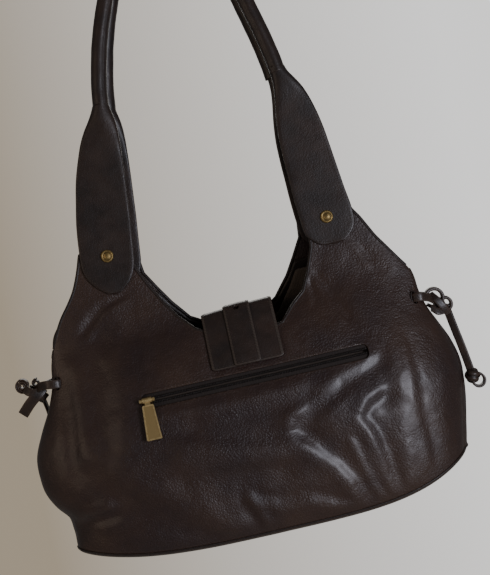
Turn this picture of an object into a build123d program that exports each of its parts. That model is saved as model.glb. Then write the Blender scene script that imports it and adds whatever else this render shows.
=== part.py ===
"""Soft leather hobo bag: two panels and side gussets round a lined compartment, a zip pocket,
two pairs of rolled handles on riveted tabs, a strap closure over the mouth and side ties.

Millimetres. +Z is up, X is the bag's width, and the zip pocket faces -Y (the near side).
The origin is at the middle of the base, on the surface that the bag stands on.
"""

import math
import os

from build123d import *

os.makedirs("parts", exist_ok=True)

# --- driving dimensions -------------------------------------------------------------------
# Body sections from the base to the ears: height, half width, half depth.
SECTIONS = (
    (0, 166, 52),
    (18, 182, 60),
    (55, 191, 66),
    (100, 199, 68),
    (132, 195, 63),
    (170, 182, 50),
    (213, 168, 30),
    (247, 146, 24),
)
CORNER_SHARE = 0.6  # plan corner radius over half depth
LEATHER = 2.2  # body leather
EAR_Z = SECTIONS[-1][0]  # the handles fold where the ears leave the mouth
GUSSET_HALF = 20  # half width of the gusset strip on each side
GUSSET_TOP, GUSSET_DIP = 212, 9

# Mouth edge, seen from the front: half widths and heights from the middle outwards.
MOUTH = ((0, 192), (30, 196), (50, 212), (68, 231), (80, 250))

# Layers inside the leather, as distances in from its outer face.
FACING_IN = 5.8  # inner face of the mouth facing and of the zip pocket
POUCH = 0.6
LINING = 0.8
BOARD = 2.0
FACING_DROP = 20
LINING_DROP = 8

# Zip pocket.
ZIP_X, ZIP_Z = 6, 149.5
ZIP_LENGTH, ZIP_WINDOW = 210, 13
TAPE, TAPE_REACH = 0.8, 16
COIL_DEEP, COIL_ROW, COIL_GAP = 1.7, 2.3, 1.6
SLIDER_LENGTH, SLIDER_HIGH = 10, 8
BRIDGE_LENGTH, BRIDGE_R, BRIDGE_OUT = 14, 1.1, 4.0
PULLER_LENGTH, PULLER_TOP, PULLER_END, PULLER_T = 39, 10.5, 14, 1.8
RUN_GAP = 0.3  # clearance between pieces that move against each other

# Handles: ears, tabs and rolled grips.
HANDLE_TOP = 353  # from the fold line to the middle of the grip at its top
GRIP_R, GRIP_WALL = 7.5, 2.0
FOLD_GAP = 0.35
EAR_TOP = 46
RIVET_X, RIVET_UP = 103, 34
RIVET_CAP, RIVET_SHANK, RIVET_DOME, RIVET_BACK = 5.8, 2.0, 2.6, 4.2
TAB_END_R = 25
# Tab centre line above the fold: height, centre from the middle of the bag, half width.
TAB = ((31, 103, 25), (93, 98, 22.5), (133, 92, 20.3), (153, 87.5, 17.5), (166, 82.3, 12.8), (172, 80.6, 11))
# Middle of the grip on one side, from the tab's neck to the top of the arch.
ARCH = ((80.5, 172.9), (78, 212), (67, 262), (43, 314), (20, HANDLE_TOP))

# Closure over the mouth.
CLOSURE_X, CLOSURE_WIDE, STRAP_WIDE = 2.7, 67, 25
CLOSURE_FROM, CLOSURE_FOLD, CLOSURE_END = 162, 205, 164
CLOSURE_T, STRAP_T = 2.0, 2.2
STAND_OFF = 4.6  # the flap stands off the far panel by its magnetic snap
CROWN_RISE, CROWN_LEAN = 8, 6  # how the flap rises and leans in where it crosses the mouth
SNAP_Z, SNAP_R = 180, 9
BUCKLE_Z, BUCKLE_WIDE, BUCKLE_HIGH, BUCKLE_BAR = 186, 33, 22, 3.0
KEEPER_Z, KEEPER_HIGH = 169, 6

# Side ties.
TIE_Z, LACE_WIDE, LACE_T = 186, 6.5, 2.4
TIE_SLOT_Y = 25
KNOT_R, KNOT_OUT, KNOT_Z = 13, 195, 180
END_KNOT_R = 5
TAIL_R = 2.75
RIGHT_TAIL = ((195, -6, 172), (197.5, -8, 150), (201, -7, 127), (204, -5, 104))
LEFT_TAIL = ((-195, 8, 172), (-200, 18, 152), (-205, 24, 130), (-206, 26, 108))


# --- shared shapes ------------------------------------------------------------------------
def shell_form(inset):
    """The bag's outer form drawn in by inset all round (out where it is negative)."""
    rings = []
    for z, half_wide, half_deep in SECTIONS:
        corner = CORNER_SHARE * half_deep - inset
        ring = RectangleRounded(2 * (half_wide - inset), 2 * (half_deep - inset), corner)
        rings.append(Pos(0, 0, z) * ring)
    return loft(rings, ruled=True)


def block(x, y, z):
    """A box between the given limits, each a pair."""
    centre = Pos(sum(x) / 2, sum(y) / 2, sum(z) / 2)
    return centre * Box(x[1] - x[0], y[1] - y[0], z[1] - z[0])


def section_at(z):
    """Half width and half depth of the bag at a height."""
    for low, high in zip(SECTIONS, SECTIONS[1:]):
        if low[0] <= z <= high[0]:
            share = (z - low[0]) / (high[0] - low[0])
            return [low[k] + share * (high[k] - low[k]) for k in (1, 2)]
    raise ValueError("height outside the bag")


def mouth_cutter(drop):
    """What the mouth takes out of the panels, its edge lowered by drop."""
    half = [(x, z - drop) for x, z in MOUTH]
    edge = Spline(*[(-x, z) for x, z in reversed(half[1:])], *half)
    top = SECTIONS[-1][0] + 10
    side = half[-1][0]
    rest = Polyline((side, half[-1][1]), (side, top), (-side, top), (-side, half[-1][1]))
    face = make_face([edge, rest])
    return extrude(Plane.XZ * face, 100, both=True)


def side_cutter(drop):
    """What the dip between the ears takes out of the gussets, lowered by drop."""
    high = GUSSET_TOP - drop
    dip = ThreePointArc((-GUSSET_HALF, high), (0, high - GUSSET_DIP), (GUSSET_HALF, high))
    top = SECTIONS[-1][0] + 10
    rest = Polyline((GUSSET_HALF, high), (GUSSET_HALF, top), (-GUSSET_HALF, top), (-GUSSET_HALF, high))
    face = make_face([dip, rest])
    return extrude(Plane.YZ * face, 300, both=True)


def write(node, shape):
    export_step(shape, f"parts/{node}.step")


REACH = 300
NEAR = block((-REACH, REACH), (-REACH, -GUSSET_HALF), (0, REACH))
FAR = block((-REACH, REACH), (GUSSET_HALF, REACH), (0, REACH))
SIDES = block((-REACH, REACH), (-GUSSET_HALF, GUSSET_HALF), (0, REACH))

outer = shell_form(0)
leather_inner = shell_form(LEATHER)
facing_inner = shell_form(FACING_IN)
skin = outer - leather_inner
facing_layer = leather_inner - facing_inner
mouth = mouth_cutter(0)


# --- body leather -------------------------------------------------------------------------
def zip_window():
    """The opening that shows the zip."""
    frame = RectangleRounded(ZIP_LENGTH, ZIP_WINDOW, 2)
    return extrude(Plane.XZ * Pos(ZIP_X, ZIP_Z) * frame, 100)


def tie_slots():
    """Upright slots that the side laces pass through, two on each side of the bag."""
    tall = (TIE_Z - LACE_WIDE / 2 - 0.4, TIE_Z + LACE_WIDE / 2 + 0.4)
    cuts = []
    for side in (-1, 1):
        for face in (-1, 1):
            x = sorted((side * 165, side * 185))
            y = (face * TIE_SLOT_Y - 1.9, face * TIE_SLOT_Y + 1.9)
            cuts.append(block(x, y, tall))
    return cuts


above_base = block((-REACH, REACH), (-REACH, REACH), (LEATHER, REACH))
slots = tie_slots()
near_panel = (skin & NEAR & above_base) - mouth - zip_window() - slots
far_panel = (skin & FAR & above_base) - mouth - slots
gussets = (skin & SIDES & above_base) - side_cutter(0)
write("near_panel", near_panel)
write("far_panel", far_panel)
for gusset in gussets.solids():
    write("left_gusset" if gusset.center().X < 0 else "right_gusset", gusset)
write("base_panel", outer & block((-REACH, REACH), (-REACH, REACH), (0, LEATHER)))


# --- lining, facings and board --------------------------------------------------------------
lining_outer = facing_inner
lining_inner = shell_form(FACING_IN + LINING)
board_top = LEATHER + BOARD
facing_band = mouth_cutter(FACING_DROP) - mouth
facings = facing_layer & facing_band & block((-REACH, REACH), (-REACH, REACH), (100, EAR_Z))
write("near_mouth_facing", facings & NEAR)
write("far_mouth_facing", facings & FAR)

lining_walls = (lining_outer - lining_inner) & block(
    (-REACH, REACH), (-REACH, REACH), (board_top, EAR_Z - LINING_DROP)
)
lining_floor = lining_outer & block((-REACH, REACH), (-REACH, REACH), (board_top, board_top + LINING))
lining = lining_walls + lining_floor - mouth_cutter(LINING_DROP) - side_cutter(LINING_DROP)
write("lining", lining)
board = facing_inner & block((-REACH, REACH), (-REACH, REACH), (LEATHER, board_top))
write("base_board", board)


# --- zip pocket -----------------------------------------------------------------------------
tape_x = (ZIP_X - ZIP_LENGTH / 2 - 9, ZIP_X + ZIP_LENGTH / 2 + 9)
tape_layer = leather_inner - shell_form(LEATHER + TAPE)
coil_layer = shell_form(LEATHER - COIL_DEEP) - leather_inner
coil_x = (ZIP_X - ZIP_LENGTH / 2 + 1, ZIP_X + ZIP_LENGTH / 2 - 1)
half_gap = COIL_GAP / 2
for name, way in (("upper", 1), ("lower", -1)):
    reach = sorted((ZIP_Z + way * half_gap, ZIP_Z + way * TAPE_REACH))
    row = sorted((ZIP_Z + way * half_gap, ZIP_Z + way * (half_gap + COIL_ROW)))
    write(f"zip_tape_{name}", tape_layer & NEAR & block(tape_x, (-REACH, 0), reach))
    write(f"zip_coil_{name}", coil_layer & NEAR & block(coil_x, (-REACH, 0), row))

# The pouch is a ply behind the zip, turned forward round its edge and sewn to the leather.
pouch_x = (tape_x[0] - 6, tape_x[1] + 6)
pouch_z = (62, ZIP_Z + TAPE_REACH + 5)
pouch_area = block(pouch_x, (-REACH, 0), pouch_z)
hem = 3
pouch_hollow = block(
    (pouch_x[0] + hem, pouch_x[1] - hem), (-REACH, 0), (pouch_z[0] + hem, pouch_z[1] - hem)
)
pouch_ply = (shell_form(FACING_IN - POUCH) - facing_inner) & NEAR & pouch_area
pouch_hem = (facing_layer & NEAR & pouch_area) - pouch_hollow - facings
write("pocket_pouch", pouch_ply + pouch_hem - facings)

# The slider and puller are drawn in a plane that lies on the leather at the zip: x runs along
# the zip, y up the panel, z outwards.
half_deep = section_at(ZIP_Z)[1]
lower, upper = section_at(ZIP_Z - 5)[1], section_at(ZIP_Z + 5)[1]
slope = math.atan2(lower - upper, 10)
slider_x = ZIP_X - ZIP_LENGTH / 2 + RUN_GAP + SLIDER_LENGTH / 2
outward = Vector(0, -math.cos(slope), math.sin(slope))
zip_plane = Plane((slider_x, -half_deep, ZIP_Z), x_dir=(1, 0, 0), z_dir=outward)

plate_top = 0.9
plate = Box(SLIDER_LENGTH, SLIDER_HIGH, plate_top + 0.2)
plate = Pos(0, 0, (plate_top - 0.2) / 2) * fillet(plate.edges().filter_by(Axis.Z), 2)
back_face = -(LEATHER + TAPE + RUN_GAP)
back_plate = Pos(0, 0, back_face - 0.4) * Box(SLIDER_LENGTH, SLIDER_HIGH, 0.8)
bar = Pos(0, 0, BRIDGE_OUT) * Rot(0, 90, 0) * Cylinder(BRIDGE_R, BRIDGE_LENGTH)
foot_x = BRIDGE_LENGTH / 2 - BRIDGE_R
foot_high = BRIDGE_OUT - plate_top
feet = [
    Pos(side * foot_x, 0, plate_top + foot_high / 2) * Box(2 * BRIDGE_R, 3, foot_high)
    for side in (-1, 1)
]
rail = Pos(0, 0, plate_top - 0.4) * Box(BRIDGE_LENGTH, 3, 0.8)
# The post between the plates runs level, like the gap between the coils that it parts.
post_x = slider_x + SLIDER_LENGTH / 2 - 2
half_post = COIL_GAP / 2 - RUN_GAP
post = block(
    (post_x - 1.5, post_x + 1.5),
    (-half_deep - plate_top / 2, -half_deep - back_face + 0.5),
    (ZIP_Z - half_post, ZIP_Z + half_post),
)
write("zip_slider", zip_plane * (plate + rail + back_plate + bar + feet) + post)

# The puller's rolled eye turns on the bridge, and its tag lies down the panel.
eye_long = BRIDGE_LENGTH - 4 * BRIDGE_R - 1
eye_in, eye_out = BRIDGE_R + RUN_GAP, BRIDGE_R + RUN_GAP + 0.9
eye = Rot(0, 90, 0) * (Cylinder(eye_out, eye_long) - Cylinder(eye_in, 2 * eye_long))
neck = Pos(0, -3.4, 0) * Box(5, 3.2, PULLER_T)
tag_top = -4.6
tag_points = (
    (-PULLER_TOP / 2, tag_top),
    (PULLER_TOP / 2, tag_top),
    (PULLER_END / 2, tag_top - PULLER_LENGTH + 7),
    (-PULLER_END / 2, tag_top - PULLER_LENGTH + 7),
)
tag_face = make_face(Polyline(*tag_points, close=True))
tag_face = fillet(tag_face.vertices(), 1.2)
tag = Pos(0, 0, -PULLER_T / 2) * extrude(tag_face, PULLER_T)
rim = Pos(0, 0, PULLER_T / 2) * extrude(tag_face - offset(tag_face, -1.4), 0.5)
hang_degrees = 4.5  # the tag tips out over the fuller leather below the zip
puller = Rot(hang_degrees, 0, 0) * (eye + (neck - Rot(0, 90, 0) * Cylinder(eye_in, 20)) + tag + rim)
write("zip_puller", zip_plane * Pos(0, 0, BRIDGE_OUT) * puller)


# --- handles ----------------------------------------------------------------------------------
lean = math.degrees(math.asin((section_at(EAR_Z)[1] - LEATHER / 2 - GRIP_R - 0.15) / HANDLE_TOP))
lean_in = Vector(0, math.sin(math.radians(lean)), math.cos(math.radians(lean)))
handle_normal = Vector(0, -lean_in.Z, lean_in.Y)
# In this plane x is the bag's width, y runs up the handle from its fold line and z outwards.
handle_plane = Plane((0, -section_at(EAR_Z)[1], EAR_Z), x_dir=(1, 0, 0), z_dir=handle_normal)


def tab_face():
    """Outline of the right tab: a round end low on the ear, narrowing to the neck of the grip."""
    outer_side = [(x + half, up) for up, x, half in TAB]
    inner_side = [(x - half, up) for up, x, half in TAB]
    up, x, _ = TAB[0]
    edges = [
        Spline(*outer_side),
        Line(outer_side[-1], inner_side[-1]),
        Spline(*reversed(inner_side)),
        ThreePointArc(inner_side[0], (x, up - TAB_END_R), outer_side[0]),
    ]
    return make_face(edges)


def ear_face():
    """Outline of the right ear above the fold line."""
    points = ((80.5, FOLD_GAP), (141.5, FOLD_GAP), (129, 32), (121, EAR_TOP), (86, EAR_TOP), (84, 30))
    return make_face(Polyline(*points, close=True))


def layer(face, low, high):
    """A flat layer of leather between two distances from the ear's outer face."""
    return Pos(0, 0, low) * extrude(face, high - low)


def handle_pieces():
    """Ear, tab, backing and rivet of the right side, then the grip and core, as named shapes."""
    hole = Pos(RIVET_X, RIVET_UP, 0) * Cylinder(RIVET_SHANK + 0.05, 40)
    ear = layer(ear_face(), -LEATHER, 0) - hole
    tab = layer(tab_face(), 0, LEATHER) - hole
    filler = tab_face() - Pos(100, 0) * Rectangle(120, 2 * EAR_TOP + 0.6)
    backing = layer(tab_face(), -2 * LEATHER, -LEATHER) + layer(filler, -LEATHER, 0) - hole
    shank = Pos(0, 0, -2 * LEATHER) * extrude(Circle(RIVET_SHANK), 3 * LEATHER)
    dome_r = (RIVET_CAP**2 + RIVET_DOME**2) / (2 * RIVET_DOME)
    ball = Sphere(dome_r)
    cap = Pos(0, 0, RIVET_DOME - dome_r) * ball & Pos(0, 0, 5) * Box(20, 20, 10)
    rivet = shank + Pos(0, 0, LEATHER) * cap + Pos(0, 0, -2 * LEATHER - 0.6) * Cylinder(RIVET_BACK, 1.2)
    route = [*ARCH, *[(-x, up) for x, up in reversed(ARCH)]]
    path = Pos(0, 0, -LEATHER / 2) * FilletPolyline(*route, radius=corner_radii(route))
    start = Plane(path @ 0, z_dir=path % 0)
    roll = sweep(start * (Circle(GRIP_R) - Circle(GRIP_R - GRIP_WALL)), path)
    core = sweep(start * Circle(GRIP_R - GRIP_WALL - 0.1), path)
    sided = {"ear": ear, "tab": tab, "backing": backing, "rivet": Pos(RIVET_X, RIVET_UP, 0) * rivet}
    return sided, {"grip": roll, "grip_core": core}


def corner_radii(route):
    """Arc radii for a route's corners, as large as the two runs beside each allow."""
    radii = []
    points = [Vector(*p) for p in route]
    for before, here, after in zip(points, points[1:], points[2:]):
        turn = (here - before).get_angle(after - here)
        shorter = min((here - before).length, (after - here).length)
        radii.append(0.45 * shorter / math.tan(math.radians(turn / 2)))
    return radii


sided, across = handle_pieces()
for piece, shape in sided.items():
    right = handle_plane * shape
    left = mirror(right, about=Plane.YZ)
    for side, placed in (("right", right), ("left", left)):
        write(f"near_{side}_{piece}", placed)
        write(f"far_{side}_{piece}", mirror(placed, about=Plane.XZ))
for piece, shape in across.items():
    write(f"near_{piece}", handle_plane * shape)
    write(f"far_{piece}", mirror(handle_plane * shape, about=Plane.XZ))


# --- closure over the mouth -------------------------------------------------------------------
def wrapped(low, high, wide, z, side):
    """A patch of leather that follows the panel between two distances out from it."""
    x = (CLOSURE_X - wide / 2, CLOSURE_X + wide / 2)
    y = (-REACH, 0) if side < 0 else (0, REACH)
    return (shell_form(-high) - shell_form(-low)) & block(x, y, z)


def over_mouth(low, high, wide):
    """The part of the flap that crosses the mouth, from the near fold to the far panel."""
    near = section_at(CLOSURE_FOLD)[1]
    far = near + STAND_OFF
    inner, outer_line = [
        [
            (-near - out, CLOSURE_FOLD),
            (-near - out + CROWN_LEAN, CLOSURE_FOLD + CROWN_RISE + out),
            (far + out - CROWN_LEAN, CLOSURE_FOLD + CROWN_RISE + out),
            (far + out, CLOSURE_FOLD),
        ]
        for out in (low, high)
    ]
    face = make_face(Polyline(*inner, *reversed(outer_line), close=True))
    return Pos(CLOSURE_X, 0, 0) * extrude(Plane.YZ * face, wide / 2, both=True)


strap_low, strap_high = CLOSURE_T, CLOSURE_T + STRAP_T
fold_to = CLOSURE_FOLD - FOLD_GAP
write("closure_anchor", wrapped(0, CLOSURE_T, CLOSURE_WIDE, (CLOSURE_FROM, fold_to), -1))
write("strap_anchor", wrapped(strap_low, strap_high, STRAP_WIDE, (CLOSURE_FROM, fold_to), -1))

flap_far = wrapped(STAND_OFF, STAND_OFF + CLOSURE_T, CLOSURE_WIDE, (CLOSURE_END, CLOSURE_FOLD), 1)
closure_tab = flap_far + over_mouth(0, CLOSURE_T, CLOSURE_WIDE)
write("closure_tab", closure_tab)
strap_far = wrapped(
    STAND_OFF + strap_low, STAND_OFF + strap_high, STRAP_WIDE, (CLOSURE_END + 2, CLOSURE_FOLD), 1
)

# The buckle and its keeper lie on the flap's far end, in a plane on its outer face.
far_slope = math.atan2(section_at(170)[1] - section_at(213)[1], 213 - 170)
far_out = Vector(0, math.cos(far_slope), math.sin(far_slope))


def far_plane(z, out):
    """A plane on the far panel: x along the bag, y up the panel, z outwards."""
    y = section_at(z)[1]
    origin = Vector(CLOSURE_X, y, z) + far_out * out
    return Plane(origin, x_dir=(-1, 0, 0), z_dir=far_out)


cos_slope = math.cos(far_slope)
strap_face = (STAND_OFF + strap_high) * cos_slope
buckle_plane = far_plane(BUCKLE_Z, strap_face)
ring_outer = RectangleRounded(BUCKLE_WIDE, BUCKLE_HIGH, 4)
ring_inner = RectangleRounded(BUCKLE_WIDE - 2 * BUCKLE_BAR, BUCKLE_HIGH - 2 * BUCKLE_BAR, 2)
bar_up = BUCKLE_HIGH / 2 - BUCKLE_BAR / 2
frame_ring = Pos(0, 0, 0.2) * extrude(ring_outer - ring_inner, 2.6)
pivot_r = 1.2
pivot_out = 0.2 + 2.6 / 2
bar_block = Pos(0, bar_up, pivot_out) * Box(6, BUCKLE_BAR + 1, 4)
pivot = Pos(0, bar_up, pivot_out) * Rot(0, 90, 0) * Cylinder(pivot_r, 7)
write("buckle_frame", buckle_plane * ((frame_ring - bar_block) + pivot))
prong_eye = Rot(0, 90, 0) * (Cylinder(pivot_r + 0.9, 4) - Cylinder(pivot_r + 0.1, 8))
prong_long = BUCKLE_HIGH - BUCKLE_BAR
shaft = Pos(0, -prong_long / 2, 2.0) * Box(2.2, prong_long - 2, 1.2)
link = Pos(0, -1.9, 1.4) * Box(2.2, 1.8, 2.4) - Rot(0, 90, 0) * Cylinder(pivot_r + 0.1, 8)
prong = prong_eye + (shaft - Rot(0, 90, 0) * Cylinder(pivot_r + 0.5, 8)) + link
write("buckle_prong", buckle_plane * Pos(0, bar_up, pivot_out) * prong)
room_for_eye = buckle_plane * Pos(0, bar_up, 0) * Box(6, 6, 3)
write("closure_strap", strap_far + over_mouth(strap_low, strap_high, STRAP_WIDE) - room_for_eye)

keeper_plane = far_plane(KEEPER_Z + 1.5, (STAND_OFF + CLOSURE_T) * cos_slope)
keeper_out = Pos(0, 0, 1.6) * Box(STRAP_WIDE + 4, KEEPER_HIGH, 5.6)
keeper_in = Pos(0, 0, 1.0) * Box(STRAP_WIDE + 0.4, 2 * KEEPER_HIGH, 4.0)
write("strap_keeper", keeper_plane * (keeper_out - keeper_in) - shell_form(-STAND_OFF - CLOSURE_T))

snap_plane = far_plane(SNAP_Z, 0)
female = Pos(0, 0, 1.1) * Cylinder(SNAP_R, 2.2)
write("magnet_female", snap_plane * female - outer)
male_high = STAND_OFF * cos_slope - 2.2 - RUN_GAP
male = Pos(0, 0, 2.2 + RUN_GAP + male_high / 2) * Cylinder(SNAP_R - 1, male_high)
write("magnet_male", snap_plane * male & shell_form(-STAND_OFF))


# --- side ties --------------------------------------------------------------------------------
lace_band = (TIE_Z - LACE_WIDE / 2, TIE_Z + LACE_WIDE / 2)
lace_outside = shell_form(-0.2 - LACE_T) - shell_form(-0.2)
lace_inside = shell_form(LEATHER + 0.3) - shell_form(LEATHER + 0.3 + LACE_T)
lace_y = (-TIE_SLOT_Y - 1.5, TIE_SLOT_Y + 1.5)
knot_cut = shell_form(-0.2 - LACE_T)


def tail_tube(route):
    """A plain tube along a hanging lace end, with arcs between its straight runs."""
    radii = corner_radii(route)
    path = FilletPolyline(*route, radius=radii)
    tube = sweep(Plane(path @ 0, z_dir=path % 0) * Circle(TAIL_R), path)
    print("tail radii", [round(r, 1) for r in radii], "length", round(path.length, 1))
    print("tube volume over section times length", round(tube.volume / (math.pi * TAIL_R**2 * path.length), 4))
    return tube


for side, route in (("left", LEFT_TAIL), ("right", RIGHT_TAIL)):
    way = math.copysign(1, route[0][0])
    x = sorted((way * 150, way * 200))
    ring = (lace_outside + lace_inside) & block(x, lace_y, lace_band)
    for face in (-1, 1):
        y = (face * TIE_SLOT_Y - 1.5, face * TIE_SLOT_Y + 1.5)
        ring += (shell_form(-0.3) - shell_form(LEATHER + 0.4)) & block(x, y, lace_band)
    write(f"{side}_lace", ring)
    knot = Pos(way * KNOT_OUT, 0, KNOT_Z) * Sphere(KNOT_R)
    write(f"{side}_knot", knot - knot_cut)
    write(f"{side}_tie_tail", tail_tube(route) - knot)
    last, before = Vector(*route[-1]), Vector(*route[-2])
    end = last + (last - before).normalized() * END_KNOT_R * 0.9
    end_knot = Pos(*end) * Sphere(END_KNOT_R)
    write(f"{side}_end_knot", end_knot - tail_tube(route))
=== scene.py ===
"""Soft leather hobo bag hanging by its handles: leather panels, lining, zip pocket, handles,
closure and side ties, put together in that order. Sizes are millimetres until a mesh is made."""

import math

import bmesh
import bpy
import numpy as np
from mathutils import Matrix, Vector, noise


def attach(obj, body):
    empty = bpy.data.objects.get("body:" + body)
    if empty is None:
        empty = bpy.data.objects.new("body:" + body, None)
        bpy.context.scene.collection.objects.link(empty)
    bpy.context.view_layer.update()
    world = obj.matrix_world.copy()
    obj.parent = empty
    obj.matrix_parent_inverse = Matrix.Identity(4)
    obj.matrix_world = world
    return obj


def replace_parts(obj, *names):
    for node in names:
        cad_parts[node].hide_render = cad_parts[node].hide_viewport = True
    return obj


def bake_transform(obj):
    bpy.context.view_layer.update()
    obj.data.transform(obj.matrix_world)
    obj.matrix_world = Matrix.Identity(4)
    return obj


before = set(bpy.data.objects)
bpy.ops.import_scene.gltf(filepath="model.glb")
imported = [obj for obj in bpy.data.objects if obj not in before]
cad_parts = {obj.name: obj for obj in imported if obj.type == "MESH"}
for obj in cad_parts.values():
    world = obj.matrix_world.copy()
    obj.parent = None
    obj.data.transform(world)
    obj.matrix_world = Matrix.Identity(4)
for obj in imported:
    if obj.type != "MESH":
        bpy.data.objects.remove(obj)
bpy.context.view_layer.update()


# --- where it hangs -------------------------------------------------------------------------
# The bag hangs from a hand or a peg in front of a plain pale wall, over a pale floor. A tall
# window in front and to the right lights it. A faint warm bounce comes from the left, and the
# wall behind gives a soft glow along its upper edges. The wall as the camera sees it is painted
# with light and shade: pale grey towards the window and darker warm beige on the left.
MM = 0.001
EYE = (0.015, -1.33, 0.2297)


def add(tree, kind, values=None, links=None, **settings):
    """One shader node with its settings, its socket values and what feeds its sockets."""
    made = tree.nodes.new("ShaderNode" + kind)
    for name, value in settings.items():
        setattr(made, name, value)
    for name, value in (values or {}).items():
        made.inputs[name].default_value = value
    for name, source in (links or {}).items():
        tree.links.new(source, made.inputs[name])
    return made


def hex_colour(code):
    """Linear colour of an sRGB hex value."""
    parts = [int(code[k : k + 2], 16) / 255 for k in (0, 2, 4)]
    return (*[c / 12.92 if c <= 0.04045 else ((c + 0.055) / 1.055) ** 2.4 for c in parts], 1)


eye = bpy.data.cameras.new("camera")
eye.lens = 88.5
camera = bpy.data.objects.new("camera", eye)
view_right, view_up, view_back = (0.9744, 0, -0.2250), (0.2250, 0, 0.9744), (0, -1, 0)
camera.matrix_world = Matrix.Translation(EYE) @ Matrix(
    (view_right, view_up, view_back)
).transposed().to_4x4()
bpy.context.collection.objects.link(camera)
bpy.context.scene.camera = camera

world = bpy.data.worlds.new("room")
world.use_nodes = True
bpy.context.scene.world = world
room = world.node_tree
room.nodes.clear()
# Painted light and shade on the wall seen by the camera: a sweep across the view from darker warm beige on
# the left to pale grey on the right.
looking = add(room, "TexCoord")
sideways = add(room, "SeparateXYZ", links={0: looking.outputs["Generated"]})
across = add(room, "MapRange", {1: -0.17, 2: 0.17}, {0: sideways.outputs[0]})
wall_painted_light_and_shade = add(
    room, "Mix", {6: hex_colour("877C6C"), 7: hex_colour("DAD9D8")}, {0: across.outputs[0]},
    data_type="RGBA",
)
wall_light = add(room, "Background", {"Strength": 1.55}, {"Color": wall_painted_light_and_shade.outputs[2]})
soft_light = add(room, "Background", {"Color": hex_colour("E2E0DE"), "Strength": 0.14})
seen = add(room, "LightPath")
either = add(
    room, "MixShader", None,
    {0: seen.outputs["Is Camera Ray"], 1: soft_light.outputs[0], 2: wall_light.outputs[0]},
)
add(room, "OutputWorld", links={"Surface": either.outputs[0]})


def window(name, at, towards, wide, tall, watts, colour):
    """A soft rectangular light that faces a point."""
    data = bpy.data.lights.new(name, "AREA")
    data.shape, data.size, data.size_y = "RECTANGLE", wide, tall
    data.energy, data.color = watts, hex_colour(colour)[:3]
    lamp = bpy.data.objects.new(name, data)
    lamp.matrix_world = Matrix.Translation(at) @ (Vector(at) - Vector(towards)).to_track_quat(
        "Z", "Y"
    ).to_matrix().to_4x4()
    bpy.context.collection.objects.link(lamp)


window("window", (0.9, -1.42, 0.1), (0, 0, 0.12), 0.34, 0.7, 12.5, "E4E7F4")
window("bounce", (-1.3, -1.0, 0.5), (0, 0, 0.15), 1.0, 1.0, 2.5, "FFE6CC")

window("wall_glow", (0.1, 1.3, 1.0), (0, 0, 0.15), 1.3, 1.1, 8, "EDEAE6")

FLOOR_Z, FLOOR_R = -0.42, 1.3
bm = bmesh.new()
bmesh.ops.create_circle(bm, cap_ends=True, segments=96, radius=FLOOR_R)
bmesh.ops.translate(bm, vec=(0, 0, FLOOR_Z), verts=bm.verts)
mesh = bpy.data.meshes.new("floor")
bm.to_mesh(mesh)
bm.free()
floor = bpy.data.objects.new("floor", mesh)
bpy.context.collection.objects.link(floor)
plain = bpy.data.materials.new("matt_paint")
plain.use_nodes = True
plain.node_tree.nodes["Principled BSDF"].inputs["Base Color"].default_value = hex_colour("CFCDC9")
plain.node_tree.nodes["Principled BSDF"].inputs["Roughness"].default_value = 0.8
mesh.materials.append(plain)


# --- body leather ---------------------------------------------------------------------------
# Two large panels of soft drum-dyed cowhide, 2.2 mm thick, sewn to a strip down each side and
# to the base. The hide is limp, so it hangs in creases from the handles and sags at the ends.
THICK = 2.2
FOLD_Z = 247
EAR_TOP = 293


def smooth(*points):
    """A curve through (position, value) points, without overshoot at its ends."""
    at, value = np.array(points, float).T
    slope = np.gradient(value, at)

    def curve(x):
        x = np.clip(x, at[0], at[-1])
        k = np.clip(np.searchsorted(at, x, side="right") - 1, 0, len(at) - 2)
        step, rise = at[k + 1] - at[k], value[k + 1] - value[k]
        t = (x - at[k]) / step
        a, b = slope[k] * step - rise, rise - slope[k + 1] * step
        return value[k] + t * rise + t * (1 - t) * (a * (1 - t) + b * t)

    return curve


def ease(low, high, x):
    """0 below low, 1 above high, and a smooth rise between them."""
    t = np.clip((x - low) / (high - low), 0, 1)
    return t * t * (3 - 2 * t)


# Half widths of the panels at their side seams by height.
NEAR_LEFT = smooth(
    (0, 165), (10, 180), (20, 187), (45, 188.5), (58, 190.5), (70, 200), (85, 207.5), (100, 209.5),
    (118, 208.5),
    (140, 199), (160, 188), (180, 180), (200, 176), (212, 172), (225, 166), (240, 157), (250, 149),
    (260, 142), (270, 137), (280, 133), (295, 128),
)
NEAR_RIGHT = smooth(
    (0, 155), (10, 166), (20, 173.5), (45, 180), (60, 183), (80, 187), (100, 190.5), (115, 192), (140, 188),
    (160, 181), (175, 175), (190, 171.5), (212, 168), (225, 159.5), (240, 149.5), (250, 143),
    (260, 138), (270, 133), (280, 127), (295, 123),
)
FAR_LEFT = smooth(
    (0, 158), (10, 172), (20, 180), (45, 184), (60, 187), (80, 192), (100, 194), (118, 193), (140, 187),
    (160, 181), (180, 178), (200, 178), (212, 177), (225, 173), (240, 160), (250, 150),
    (260, 142), (270, 137), (280, 132), (295, 126),
)
FAR_RIGHT = smooth(
    (0, 158), (10, 170), (20, 177), (45, 183), (60, 187), (80, 191), (100, 193), (115, 193), (140, 188),
    (160, 181), (175, 175), (190, 171), (212, 167), (225, 159), (240, 149.5), (250, 143),
    (260, 138), (270, 133), (280, 128), (295, 124),
)
DEPTH = smooth(
    (0, 49), (9, 55), (18, 60), (35, 64), (55, 66.2), (80, 67.6), (100, 67.8), (116, 66.2), (132, 62.8),
    (150, 56.8), (170, 49.6), (190, 40.8), (213, 30), (230, 26.2), (247, 24), (270, 23), (295, 21.9),
)
SEAM_DEPTH = smooth((0, 20), (190, 20), (213, 20.5), (230, 21.5), (247, 21.9), (270, 21.2), (295, 20.2))
SIDE_BULGE = smooth((0, 4), (60, 5), (110, 5), (150, 3.5), (172, 1.5), (186, 0), (200, 0), (212, 0))

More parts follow.
